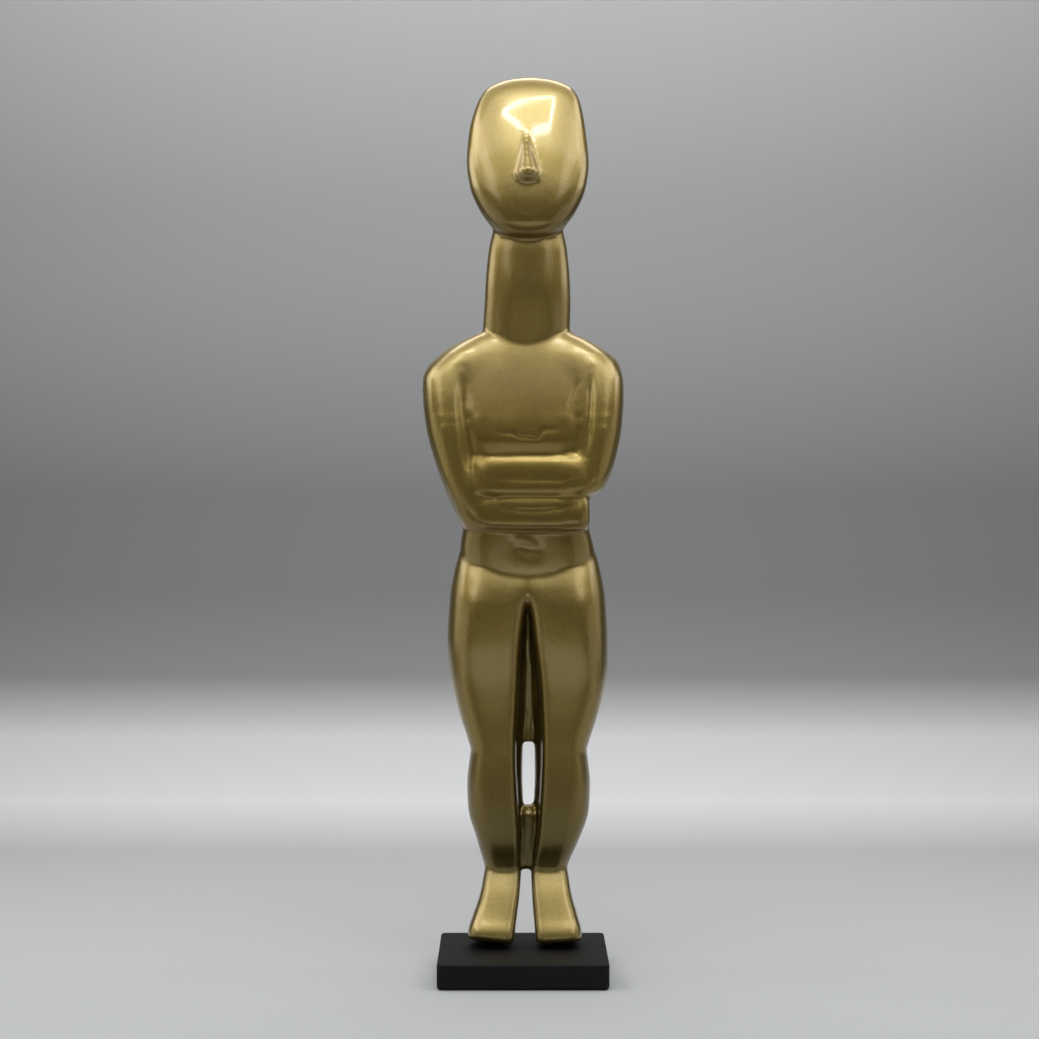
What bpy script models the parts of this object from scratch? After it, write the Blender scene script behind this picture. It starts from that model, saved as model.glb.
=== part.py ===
"""A folded-arm figure in the manner of the Cycladic islands, cast in one piece, on a low black plinth.

Metres, +Z up. The figure faces -Y and the origin is the centre of the plinth's underside.
"""

import math

import bmesh
import bpy
from mathutils import Vector

# Plinth
PLINTH_WIDTH = 0.060
PLINTH_DEPTH = 0.060
PLINTH_HEIGHT = 0.0091
PLINTH_CORNER_RADIUS = 0.0020
PLINTH_EDGE_RADIUS = 0.0008
PLINTH_FOOT_RADIUS = 0.0013

# Figure: its height, its middle plane behind the plinth's centre, and the glue line under its heels
FIGURE_HEIGHT = 0.3125
FIGURE_SET_BACK = 0.0120
GLUE_LINE = 0.0003

# The figure's sections are in parts of its height. One part is a millimetre at the height above.
PARTS_IN_HEIGHT = 312.5
PART = FIGURE_HEIGHT / PARTS_IN_HEIGHT

# The grid that melts the masses into one casting, the lacquer on it, and how many triangles it is cut to
CASTING_GRID = 0.9 * PART
SOFTENING_PASSES = 4
LACQUER = 0.3 * PART
CASTING_TRIANGLES = 7800
SECTION_SIDES = 48
STEPS_PER_SECTION = 4
SAME_PLACE = 1e-6

GOLD = (0.46, 0.34, 0.11, 1.0)
BLACK = (0.018, 0.017, 0.016, 1.0)

# The middle line sways a little from side to side. A place is height and how far it stands to the right.
SWAY = {
    "soles": (0, 0.7),
    "ankles": (26, 1.2),
    "shins": (42, 2.1),
    "thighs": (92, 2.2),
    "buttocks": (112, 1.7),
    "hips": (138, 1.7),
    "waist": (150, 1.2),
    "shoulder points": (205, 0.1),
    "collarbones": (212, 1.0),
    "neck": (235, 1.8),
    "jaw": (264, 1.9),
    "brow": (292, 1.7),
    "crown": (312, 2.6),
}

# Upright masses about the middle line. A section is height, half width, front and back.
HEAD = {
    "under the chin": (253.4, 5.0, -6.6, 6.0),
    "chin": (255.2, 9.9, -9.9, 8.4),
    "jaw": (259.4, 14.1, -11.7, 10.0),
    "lower lip": (265.0, 17.8, -11.5, 10.9),
    "cheeks": (272.0, 20.6, -10.6, 11.8),
    "nose bridge": (281.0, 21.8, -8.5, 12.6),
    "forehead": (292.0, 20.9, -5.1, 13.2),
    "temples": (302.5, 18.6, -1.2, 13.6),
    "crown edge": (307.6, 16.0, 1.2, 13.0),
    "crown": (310.9, 10.2, 3.8, 11.4),
    "crown top": (312.3, 3.2, 6.2, 9.0),
}
NECK = {
    "neck root": (206.0, 15.6, -6.0, 11.2),
    "collar": (221.0, 15.5, -7.0, 11.6),
    "mid neck": (236.0, 15.1, -7.9, 11.4),
    "throat": (249.0, 14.0, -7.1, 10.6),
    "neck top": (257.0, 12.3, -5.2, 9.4),
    "inside the head": (263.0, 10.5, -3.0, 8.0),
}
NOSE_ROOT = {
    "under the nose": (272.8, 3.6, -10.5, -5.0),
    "nose foot": (276.0, 7.0, -12.1, -5.0),
    "beside the nose": (280.0, 5.6, -10.7, -5.0),
    "beside the bridge": (284.5, 2.8, -8.6, -4.0),
    "under the brow": (288.5, 0.8, -6.7, -2.0),
}
SHOULDERS = {
    "under the arms' tops": (180.0, 22.0, -4.0, 8.0),
    "under the shoulders": (189.0, 28.0, -8.6, 11.0),
    "armpits": (197.0, 33.8, -9.4, 12.8),
    "shoulder points": (203.5, 36.0, -9.6, 13.8),
    "shoulder tops": (208.8, 34.1, -8.6, 13.2),
    "collarbones": (214.5, 27.6, -6.8, 12.2),
    "neck slope": (219.0, 18.8, -4.8, 10.6),
    "inside the neck": (222.6, 8.0, -1.0, 8.0),
}
CHEST = {
    "behind the lower arm": (150.0, 19.0, -11.0, 11.0),
    "behind the arms": (160.0, 20.4, -12.8, 12.6),
    "under the breasts": (177.0, 21.6, -14.4, 13.2),
    "breast line": (181.0, 22.2, -14.9, 13.6),
    "breasts": (186.0, 23.4, -14.3, 13.9),
    "upper breasts": (193.0, 24.5, -12.8, 14.1),
    "upper chest": (203.0, 24.0, -10.3, 14.0),
    "collarbone hollow": (210.0, 19.0, -8.4, 12.6),
    "inside the shoulders": (217.0, 12.0, -6.2, 10.0),
}
BELLY = {
    "inside the hips": (122.0, 17.0, -9.5, 10.0),
    "groin": (128.0, 21.4, -13.9, 13.4),
    "lower belly": (135.0, 23.5, -14.6, 13.6),
    "navel": (142.0, 23.8, -14.9, 13.0),
    "waist": (150.0, 22.4, -15.2, 12.7),
    "behind the arms": (160.0, 21.6, -14.0, 12.6),
    "inside the chest": (170.0, 20.0, -12.0, 12.0),
}

# The wedge of the nose, a little to the left of its root. A section is height, left, right, front and back.
NOSE = {
    "under the nose": (273.2, -3.0, 3.0, -10.8, -5.0),
    "nostrils": (274.6, -3.9, 4.0, -12.9, -5.0),
    "nose tip": (276.8, -3.8, 3.9, -14.4, -5.0),
    "above the tip": (279.5, -3.1, 3.0, -12.9, -5.0),
    "mid nose": (284.5, -2.3, 1.5, -10.0, -4.0),
    "upper nose": (289.0, -1.8, 0.7, -7.1, -3.0),
    "brow": (293.6, -1.3, -0.3, -4.7, -2.0),
}

# Upright masses beside the middle line. A section is height, inner side, outer side, front and back.
UPPER_ARM = {
    "above the elbow": (174.0, 16.8, 32.2, -14.3, 12.0),
    "mid arm": (185.0, 17.6, 34.8, -13.6, 12.9),
    "upper arm": (196.0, 18.0, 36.0, -11.8, 12.9),
    "arm top": (203.0, 17.6, 36.1, -9.9, 12.4),
    "shoulder top": (208.8, 15.6, 33.6, -8.0, 11.6),
    "collarbone": (214.0, 11.0, 27.4, -5.8, 9.5),
    "inside the shoulder": (218.0, 10.0, 19.0, -3.0, 7.0),
}
RIGHT_ELBOW = {
    "under the right elbow": (161.6, 20.0, 24.0, -8.0, 6.0),
    "right elbow": (163.0, 17.6, 27.1, -12.6, 9.5),
    "above the right elbow": (167.0, 16.6, 29.5, -14.8, 11.2),
}
LEFT_ELBOW = {
    "under the left elbow": (148.6, 14.0, 19.0, -8.0, 6.0),
    "left elbow": (150.0, 11.0, 22.4, -13.0, 9.5),
    "above the left elbow": (157.0, 12.0, 26.0, -15.2, 10.6),
    "left forearm root": (165.0, 15.8, 29.2, -14.9, 11.3),
}
LEG = {
    "inside the foot": (22.0, 3.6, 13.8, -3.2, 9.0),
    "ankle": (27.0, 2.9, 14.9, -4.4, 9.6),
    "lower shin": (37.0, 3.3, 18.3, -8.6, 12.0),
    "shin": (48.0, 3.9, 21.6, -10.9, 13.4),
    "calf": (57.0, 4.4, 22.0, -12.3, 13.2),
    "under the knee": (67.0, 4.8, 21.0, -13.5, 11.9),
    "knee": (69.6, 4.8, 20.7, -13.8, 11.6),
    "over the knee": (72.4, 4.8, 21.4, -14.1, 11.9),
    "lower thigh": (84.0, 4.2, 25.1, -15.7, 13.8),
    "mid thigh": (98.0, 3.2, 28.1, -17.1, 15.9),
    "buttocks": (110.0, 2.0, 28.6, -17.6, 16.5),
    "fork": (122.0, 0.3, 27.8, -17.2, 16.1),
    "hip": (127.0, -2.5, 26.4, -16.3, 15.4),
    "groin": (132.0, -5.0, 24.5, -14.6, 13.9),
    "inside the belly": (138.0, -6.0, 22.0, -11.5, 12.4),
    "leg top": (143.0, 4.0, 19.0, -5.0, 9.0),
}
# How far the tops of the legs rise out at the hips, and how much they thin there, between two heights
HIP_LIFT = 8.0
HIP_LEAN = 0.2
HIPS_FROM = 116.0
HIPS_TO = 138.0
# The inner wall of each leg, which runs in towards the middle line behind the front edge
INNER_WALL = {
    "inside the foot": (22.0, 3.0, 11.0, 1.0, 9.0),
    "ankle": (26.5, 1.9, 12.0, 0.0, 9.0),
    "shin": (48.0, 2.1, 14.0, -0.6, 12.0),
    "calf": (60.0, 2.5, 15.0, -0.6, 12.0),
    "knee": (72.0, 2.2, 15.0, -0.6, 11.0),
    "lower thigh": (84.0, 1.0, 15.0, -1.6, 13.0),
    "mid thigh": (100.0, 0.4, 15.0, -2.6, 15.0),
    "upper thigh": (118.0, 0.2, 14.0, -5.6, 15.0),
    "fork": (128.0, 2.0, 12.0, -8.0, 12.0),
}
FOOT = {
    "heel print": (0.0, 8.0, 16.6, -3.0, 3.4),
    "heel edge": (0.5, 6.0, 18.4, -8.5, 4.2),
    "sole at the toes": (1.5, 4.4, 20.0, -15.0, 4.6),
    "toe tips": (2.7, 4.0, 20.3, -16.5, 4.9),
    "toe tops": (4.6, 3.8, 20.2, -16.1, 5.2),
    "toe roots": (10.0, 3.2, 18.7, -13.2, 5.9),
    "instep": (18.0, 2.4, 16.2, -8.9, 7.4),
    "ankle": (26.0, 2.0, 14.7, -4.0, 8.8),
    "inside the leg": (30.0, 3.4, 13.4, -1.6, 8.6),
}
# How far the outer corner of the toes is turned up, by side
TOE_LIFT = {-1: 2.4, 1: 1.2}
TOE_LIFT_ENDS_AT = 14.0
# The thin wall left between the legs, below and above the slot at the knees and calves
LOWER_WEB = {
    "above the ankles": (26.0, 2.4, -0.4, 5.0),
    "between the ankles": (28.0, 4.0, -1.2, 6.0),
    "between the calves": (45.0, 4.0, -0.6, 6.0),
    "under the slot": (48.6, 2.0, 2.0, 5.0),
}
UPPER_WEB = {
    "over the slot": (71.8, 2.4, 3.0, 6.5),
    "between the knees": (75.0, 3.4, 2.4, 7.5),
    "between the thighs": (108.0, 3.4, 1.0, 9.5),
    "under the fork": (121.0, 3.4, -2.4, 10.0),
    "fork": (129.0, 3.4, -11.0, 11.0),
}

# Masses that lie across the body. A section is the place across, underside, top, front and back.
FOREARM_IN_FRONT = {
    "inside the left arm": (-23.0, 164.0, 173.0, -11.0, 0.0),
    "hand": (-17.5, 161.4, 175.4, -15.0, 0.0),
    "wrist": (-11.0, 160.8, 176.4, -16.2, 0.0),
    "forearm": (1.0, 160.6, 176.6, -16.6, 0.0),
    "mid forearm": (11.0, 160.6, 176.4, -16.6, 0.0),
    "near the elbow": (20.0, 161.6, 175.8, -15.8, 0.0),
    "inside the right arm": (27.5, 164.0, 173.5, -11.0, 0.0),
}
FOREARM_BELOW = {
    "inside the left arm": (-23.0, 152.0, 161.4, -10.0, 0.0),
    "near the elbow": (-15.0, 149.6, 162.2, -15.9, 0.0),
    "forearm": (0.0, 149.0, 162.6, -17.3, 0.0),
    "wrist": (11.0, 149.0, 162.6, -17.2, 0.0),
    "hand": (19.0, 149.2, 162.0, -16.2, 0.0),
    "fingertips": (22.4, 150.2, 160.8, -14.4, 0.0),
}

# How far back each forearm's front leans, in degrees, and the height it leans from
FRONT_LEAN = (168.0, 7.0)
BELOW_LEAN = (156.0, 5.0)

# The navel's dimple: its centre, then half sizes, across, in depth and in height
NAVEL = ((0.8, -16.2, 143.2), (4.4, 2.2, 3.0))


def material(name, colour, roughness, metallic=0.0, coat=0.0):
    made = bpy.data.materials.new(name)
    made.use_nodes = True
    shader = made.node_tree.nodes["Principled BSDF"]
    shader.inputs["Base Color"].default_value = colour
    shader.inputs["Roughness"].default_value = roughness
    shader.inputs["Metallic"].default_value = metallic
    shader.inputs["Coat Weight"].default_value = coat
    made.diffuse_color = colour
    return made


def object_from(bm, name, finish=None):
    mesh = bpy.data.meshes.new(name)
    bmesh.ops.recalc_face_normals(bm, faces=bm.faces)
    bm.to_mesh(mesh)
    bm.free()
    if finish:
        mesh.materials.append(finish)
    made = bpy.data.objects.new(name, mesh)
    bpy.context.scene.collection.objects.link(made)
    return made


def slope_through(before, after):
    """The slope at a section that never carries the curve past its neighbours."""
    if before * after <= 0:
        return 0.0
    return 2 * before * after / (before + after)


def eased(values, gaps):
    """A smooth run through the values, with steps put in between each pair."""
    rises = [(b - a) / gap for a, b, gap in zip(values, values[1:], gaps)]
    slopes = [rises[0]]
    slopes += [slope_through(before, after) for before, after in zip(rises, rises[1:])]
    slopes.append(rises[-1])
    run = []
    for i, gap in enumerate(gaps):
        for step in range(STEPS_PER_SECTION):
            t = step / STEPS_PER_SECTION
            start = values[i] * (1 + 2 * t) * (1 - t) ** 2 + slopes[i] * gap * t * (1 - t) ** 2
            end = values[i + 1] * t * t * (3 - 2 * t) - slopes[i + 1] * gap * t * t * (1 - t)
            run.append(start + end)
    run.append(values[-1])
    return run


def flowing(sections):
    """The sections with smooth ones put in between them."""
    stations = [section[0] for section in sections]
    gaps = [b - a for a, b in zip(stations, stations[1:])]
    return list(zip(*[eased(column, gaps) for column in zip(*sections)]))


def sway(height):
    """How far the middle line stands to the right at a height."""
    places = list(SWAY.values())
    for (low, before), (high, after) in zip(places, places[1:]):
        if height <= high:
            t = (height - low) / (high - low)
            return before + (after - before) * t * t * (3 - 2 * t)
    return places[-1][1]


def upright(station, across, away):
    return Vector((across + sway(station), away, station))


def lying(station, across, away):
    return Vector((station + sway(across), away, across))


def leg_place(station, across, away):
    """A place on a leg, whose top rises and leans back from the middle of the body out to the hips."""
    t = max(0.0, min(1.0, (station - HIPS_FROM) / (HIPS_TO - HIPS_FROM)))
    outward = (across / 22) ** 2 * t * t * (3 - 2 * t)
    return upright(station + HIP_LIFT * outward, across, away * (1 - HIP_LEAN * outward))


def foot_on(side):
    """A place function for a foot, whose toes turn up towards their outer corner."""
    inner, outer, front = FOOT["toe tips"][1:4]

    def place(station, across, away):
        outward = (side * across - inner) / (outer - inner)
        forward = max(0.0, min(1.0, away / front))
        low = max(0.0, 1 - station / TOE_LIFT_ENDS_AT)
        return upright(station + TOE_LIFT[side] * outward * forward * low, across, away)

    return place


def leaning(level, degrees):
    """A place function for a mass across the body that leans back above a level and forward below it."""
    lean = math.tan(math.radians(degrees))

    def place(station, across, away):
        return lying(station, across, away + lean * (across - level))

    return place


def squared(value, squareness):
    return math.copysign(abs(value) ** (2 / squareness), value)


def add_mass(bm, sections, place, low_squareness, high_squareness, back_squareness=2.4):
    """Draws a sphere out along its sections: station, low side, high side, front and back.

    A squareness of 2 gives an ellipse, and more gives a squarer section.
    """
    run = flowing(sections)
    ball = bmesh.ops.create_uvsphere(bm, u_segments=SECTION_SIDES, v_segments=len(run) + 1, radius=1)
    for vert in ball["verts"]:
        level = round(math.acos(max(-1.0, min(1.0, -vert.co.z))) / math.pi * (len(run) + 1))
        station, low, high, front, back = run[max(0, min(len(run) - 1, level - 1))]
        on_axis = level in (0, len(run) + 1)
        along, away = (0.0, 0.0) if on_axis else Vector(vert.co.xy).normalized()
        squareness = back_squareness if away > 0 else high_squareness if along > 0 else low_squareness
        across = (low + high) / 2 + (high - low) / 2 * squared(along, squareness)
        depth = (front + back) / 2 + (back - front) / 2 * squared(away, squareness)
        vert.co = place(station, across, depth) * PART


def add_middle_mass(bm, sections, squareness):
    whole = [(height, -half, half, front, back) for height, half, front, back in sections.values()]
    add_mass(bm, whole, upright, squareness, squareness)


def add_side_mass(bm, sections, side, inner_squareness, outer_squareness, place=upright):
    """Adds a mass beside the middle line: to its left for side -1, to its right for side 1."""
    turned = []
    for height, inner, outer, front, back in sections.values():
        low, high = sorted((side * inner, side * outer))
        turned.append((height, low, high, front, back))
    if side > 0:
        add_mass(bm, turned, place, inner_squareness, outer_squareness)
    else:
        add_mass(bm, turned, place, outer_squareness, inner_squareness)


def add_round_mass(bm, centre, half_sizes):
    ball = bmesh.ops.create_uvsphere(bm, u_segments=SECTION_SIDES, v_segments=SECTION_SIDES // 2, radius=1)
    for vert in ball["verts"]:
        vert.co = (Vector(centre) + vert.co * Vector(half_sizes)) * PART


def figure_masses():
    """Every mass of the figure, as closed shapes that run into each other."""
    bm = bmesh.new()
    add_middle_mass(bm, HEAD, squareness=2.35)
    add_middle_mass(bm, NECK, squareness=2.1)
    add_middle_mass(bm, NOSE_ROOT, squareness=0.9)
    add_mass(bm, list(NOSE.values()), upright, low_squareness=1.4, high_squareness=1.4)
    add_middle_mass(bm, SHOULDERS, squareness=2.7)
    add_middle_mass(bm, CHEST, squareness=3.8)
    add_middle_mass(bm, BELLY, squareness=2.7)
    add_side_mass(bm, LEFT_ELBOW | UPPER_ARM, side=-1, inner_squareness=3.4, outer_squareness=2.3)
    add_side_mass(bm, RIGHT_ELBOW | UPPER_ARM, side=1, inner_squareness=3.4, outer_squareness=2.3)
    for side in (-1, 1):
        add_side_mass(bm, LEG, side, inner_squareness=6.0, outer_squareness=2.5, place=leg_place)
        add_side_mass(bm, INNER_WALL, side, inner_squareness=2.0, outer_squareness=2.0)
        add_side_mass(bm, FOOT, side, inner_squareness=7.0, outer_squareness=4.6, place=foot_on(side))
    add_middle_mass(bm, LOWER_WEB, squareness=2.0)
    add_middle_mass(bm, UPPER_WEB, squareness=1.5)
    for forearm, lean in ((FOREARM_IN_FRONT, FRONT_LEAN), (FOREARM_BELOW, BELOW_LEAN)):
        add_mass(bm, list(forearm.values()), leaning(*lean), low_squareness=5.0, high_squareness=4.0)
    return bm


def frozen(rough, name):
    """A mesh of the object as its modifiers leave it. The rough object and its mesh go."""
    seen = rough.evaluated_get(bpy.context.evaluated_depsgraph_get())
    mesh = bpy.data.meshes.new_from_object(seen)
    mesh.name = name
    bpy.data.objects.remove(rough)
    return mesh


def fit_casting(mesh):
    """Adds the lacquer, stands the casting on its heels and brings it to its exact height."""
    bm = bmesh.new()
    bm.from_mesh(mesh)
    bm.normal_update()
    outwards = [vert.normal.copy() for vert in bm.verts]
    for vert, outward in zip(bm.verts, outwards):
        vert.co += outward * LACQUER
    lowest = min(vert.co.z for vert in bm.verts)
    highest = max(vert.co.z for vert in bm.verts)
    bmesh.ops.translate(bm, verts=bm.verts, vec=(0, 0, -lowest))
    bmesh.ops.scale(bm, verts=bm.verts, vec=(1, 1, FIGURE_HEIGHT / (highest - lowest)))
    bm.to_mesh(mesh)
    bm.free()


def make_figure(gold):
    rough = object_from(figure_masses(), "figure_masses", gold)
    melt = rough.modifiers.new("melt into one casting", "REMESH")
    melt.mode = "VOXEL"
    melt.voxel_size = CASTING_GRID
    melt.adaptivity = 0.0
    navel = bmesh.new()
    add_round_mass(navel, *NAVEL)
    cutter = object_from(navel, "navel_cutter")
    cutter.hide_render = True
    cutter.display_type = "WIRE"
    dimple = rough.modifiers.new("navel", "BOOLEAN")
    dimple.operation = "DIFFERENCE"
    dimple.object = cutter
    soften = rough.modifiers.new("soften as cast", "SMOOTH")
    soften.factor = 0.5
    soften.iterations = SOFTENING_PASSES
    mesh = frozen(rough, "figure")
    bpy.data.objects.remove(cutter)
    fit_casting(mesh)
    figure = bpy.data.objects.new("figure", mesh)
    bpy.context.scene.collection.objects.link(figure)
    facets = sum(len(polygon.vertices) - 2 for polygon in mesh.polygons)
    thin = figure.modifiers.new("fewer facets", "DECIMATE")
    thin.ratio = CASTING_TRIANGLES / facets
    thin.use_collapse_triangulate = True
    figure.location = (0, FIGURE_SET_BACK, PLINTH_HEIGHT + GLUE_LINE)
    mesh.shade_smooth()
    return figure


def round_off(bm, edges, radius, segments):
    bmesh.ops.bevel(
        bm, geom=edges, offset=radius, offset_type="OFFSET", segments=segments, profile=0.5,
        affect="EDGES", clamp_overlap=True, material=-1,
    )


def make_plinth(black):
    bm = bmesh.new()
    bmesh.ops.create_cube(bm, size=1)
    bmesh.ops.translate(bm, verts=bm.verts, vec=(0, 0, 0.5))
    bmesh.ops.scale(bm, verts=bm.verts, vec=(PLINTH_WIDTH, PLINTH_DEPTH, PLINTH_HEIGHT))
    uprights = [e for e in bm.edges if abs(e.verts[0].co.z - e.verts[1].co.z) > PLINTH_HEIGHT / 2]
    round_off(bm, uprights, PLINTH_CORNER_RADIUS, segments=5)
    for height, radius in ((PLINTH_HEIGHT, PLINTH_EDGE_RADIUS), (0.0, PLINTH_FOOT_RADIUS)):
        rim = [e for e in bm.edges if all(abs(vert.co.z - height) < SAME_PLACE for vert in e.verts)]
        round_off(bm, rim, radius, segments=3)
    return object_from(bm, "plinth", black)


for leftover in list(bpy.data.objects):
    bpy.data.objects.remove(leftover)

make_plinth(material("black stone", BLACK, roughness=0.55))
make_figure(material("gold lacquer", GOLD, roughness=0.32, metallic=0.85, coat=0.6))
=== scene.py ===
import math

import bmesh
import bpy
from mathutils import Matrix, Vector


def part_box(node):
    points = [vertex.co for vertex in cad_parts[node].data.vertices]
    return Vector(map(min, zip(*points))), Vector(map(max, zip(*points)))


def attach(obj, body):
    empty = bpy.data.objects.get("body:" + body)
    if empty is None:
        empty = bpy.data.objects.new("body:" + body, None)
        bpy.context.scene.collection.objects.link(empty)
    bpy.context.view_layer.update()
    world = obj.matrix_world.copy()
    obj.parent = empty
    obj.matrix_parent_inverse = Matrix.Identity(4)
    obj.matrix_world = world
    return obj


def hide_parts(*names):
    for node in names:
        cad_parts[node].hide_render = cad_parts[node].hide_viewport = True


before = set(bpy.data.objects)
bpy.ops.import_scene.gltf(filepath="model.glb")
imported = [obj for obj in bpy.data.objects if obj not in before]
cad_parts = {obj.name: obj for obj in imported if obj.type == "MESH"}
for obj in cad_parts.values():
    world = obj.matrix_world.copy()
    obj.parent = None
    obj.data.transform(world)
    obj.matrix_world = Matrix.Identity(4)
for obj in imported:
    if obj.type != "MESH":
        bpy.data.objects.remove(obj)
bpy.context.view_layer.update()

# The camera stands square to the front, a little under a metre away and as high as the figure's breasts.
# It looks down and to the right by a hair. Its place was fitted to the corners of the plinth's top.
IMAGE_SIDE_PX = 1039
FOCAL_LENGTH_PX = 2606.2
SENSOR_MM = 36.0
CAMERA_PLACE = Vector((-0.0027, -0.9274, 0.1896))
CAMERA_DOWN_DEG = 1.676
CAMERA_RIGHT_DEG = 0.093

lens = bpy.data.cameras.new("camera")
lens.sensor_width = SENSOR_MM
lens.lens = FOCAL_LENGTH_PX / IMAGE_SIDE_PX * SENSOR_MM
lens.clip_start = 0.01
camera = bpy.data.objects.new("camera", lens)
bpy.context.scene.collection.objects.link(camera)
camera.location = CAMERA_PLACE
camera.rotation_euler = (math.radians(90 - CAMERA_DOWN_DEG), 0, math.radians(-CAMERA_RIGHT_DEG))
bpy.context.scene.camera = camera


# The plinth is one low square block, painted matt black. Its upright corners and its top edge are lightly
# rounded, and its lower edge a little more, so that a dark line shows where it meets the table.
PLINTH_CORNER_RADIUS = 0.0020
PLINTH_EDGE_RADIUS = 0.0008
PLINTH_FOOT_RADIUS = 0.0013
CORNER_SEGMENTS = 8
RIM_SEGMENTS = 5
SAME_PLACE = 1e-6
PLINTH_BLACK = (0.0034, 0.0030, 0.0028, 1)
PLINTH_WORN_BLACK = (0.0064, 0.0058, 0.0054, 1)
PLINTH_WEAR_RANGE = (0.35, 0.7)
PLINTH_GRAIN_SCALE = 900.0
PLINTH_CLOUD_SCALE = 45.0
PLINTH_ROUGHNESS = 0.50
PLINTH_GRAIN_DEPTH = 0.00004


def piece_from(bm, name):
    """A finished object in its place, with smooth faces that point outwards."""
    bmesh.ops.recalc_face_normals(bm, faces=bm.faces)
    mesh = bpy.data.meshes.new(name)
    bm.to_mesh(mesh)
    bm.free()
    mesh.shade_smooth()
    piece = bpy.data.objects.new(name, mesh)
    bpy.context.scene.collection.objects.link(piece)
    return piece


def round_off(bm, edges, radius, segments):
    bmesh.ops.bevel(
        bm, geom=edges, offset=radius, offset_type="OFFSET", segments=segments, profile=0.5,
        affect="EDGES", clamp_overlap=True, material=-1,
    )


class Wire:
    """One output of a material's node. Sums, products and the like on it add Math nodes."""

    def __init__(self, socket):
        self.socket = socket

    def node(self, kind, settings=None, feeds=None, output=0):
        """Adds any node: its settings first, then a value or a wire for each socket named in feeds."""
        tree = self.socket.id_data
        made = tree.nodes.new(kind)
        for name, value in (settings or {}).items():
            if name == "stops":
                ramp = made.color_ramp
                while len(ramp.elements) < len(value):
                    ramp.elements.new(0.5)
                for element, (place, colour) in zip(ramp.elements, value):
                    element.position = place
                    element.color = colour
            else:
                setattr(made, name, value)
        for key, value in (feeds or {}).items():
            if isinstance(value, Wire):
                tree.links.new(value.socket, made.inputs[key])
            else:
                made.inputs[key].default_value = value
        return Wire(made.outputs[output])

    def maths(self, operation, first, second):
        return self.node("ShaderNodeMath", {"operation": operation}, {0: first, 1: second})

    def __add__(self, other):
        return self.maths("ADD", self, other)

    def __sub__(self, other):
        return self.maths("SUBTRACT", self, other)

    def __rsub__(self, other):
        return self.maths("SUBTRACT", other, self)

    def __mul__(self, other):
        return self.maths("MULTIPLY", self, other)

    __radd__ = __add__
    __rmul__ = __mul__

    def between(self, low, high):
        """Nought below low, one above high, and a straight ramp between."""
        feeds = {"Value": self, "From Min": low, "From Max": high}
        return self.node("ShaderNodeMapRange", {"clamp": True}, feeds)

    def colour_from(self, first, second):
        """The first colour where this is nought and the second where it is one."""
        feeds = {"Factor": self, 6: first, 7: second}
        return self.node("ShaderNodeMix", {"data_type": "RGBA"}, feeds, output=2)

    def noise(self, scale, detail, roughness=0.5):
        """Soft noise over a place, finer with a larger scale."""
        feeds = {"Vector": self, "Scale": scale, "Detail": detail, "Roughness": roughness}
        return self.node("ShaderNodeTexNoise", {}, feeds)

    def by_axis(self):
        """The three parts of a place: across, away and up."""
        return [self.node("ShaderNodeSeparateXYZ", {}, {0: self}, output=axis) for axis in range(3)]

    def into(self, key):
        """Joins the wire to a socket of the material's shader."""
        tree = self.socket.id_data
        tree.links.new(self.socket, tree.nodes["Principled BSDF"].inputs[key])


def new_finish(name, **values):
    """A material with its even values set on the shader, and the wire of its object coordinates."""
    finish = bpy.data.materials.new(name)
    finish.use_nodes = True
    shader = finish.node_tree.nodes["Principled BSDF"]
    for key, value in values.items():
        shader.inputs[key.replace("_", " ")].default_value = value
    place = finish.node_tree.nodes.new("ShaderNodeTexCoord").outputs["Object"]
    return finish, Wire(place)


low_corner, high_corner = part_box("plinth")
low_corner, high_corner = Vector(low_corner), Vector(high_corner)
block = bmesh.new()
bmesh.ops.create_cube(block, size=1)
bmesh.ops.scale(block, verts=block.verts, vec=high_corner - low_corner)
bmesh.ops.translate(block, verts=block.verts, vec=(low_corner + high_corner) / 2)
half_thickness = (high_corner.z - low_corner.z) / 2
uprights = [edge for edge in block.edges if abs(edge.verts[0].co.z - edge.verts[1].co.z) > half_thickness]
round_off(block, uprights, PLINTH_CORNER_RADIUS, CORNER_SEGMENTS)
for level, radius in ((high_corner.z, PLINTH_EDGE_RADIUS), (low_corner.z, PLINTH_FOOT_RADIUS)):
    rim = [edge for edge in block.edges if all(abs(vert.co.z - level) < SAME_PLACE for vert in edge.verts)]
    round_off(block, rim, radius, RIM_SEGMENTS)
plinth = piece_from(block, "plinth_block")
flats = plinth.modifiers.new("keep the faces flat", "WEIGHTED_NORMAL")
flats.keep_sharp = True

matt_black, place = new_finish("matt black lacquer", IOR=1.45, Specular_IOR_Level=0.2)
grain = place.noise(PLINTH_GRAIN_SCALE, detail=4.0, roughness=0.6)
cloud = place.noise(PLINTH_CLOUD_SCALE, detail=3.0, roughness=0.55)
worn = (cloud * 0.7 + grain * 0.3).between(*PLINTH_WEAR_RANGE)
worn.colour_from(PLINTH_BLACK, PLINTH_WORN_BLACK).into("Base Color")
(PLINTH_ROUGHNESS + cloud * 0.16 + grain * 0.06).into("Roughness")
place.node(
    "ShaderNodeBump", {}, {"Strength": 0.25, "Distance": PLINTH_GRAIN_DEPTH, "Height": grain}
).into("Normal")
plinth.data.materials.append(matt_black)
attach(plinth, "root")
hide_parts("plinth")


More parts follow.
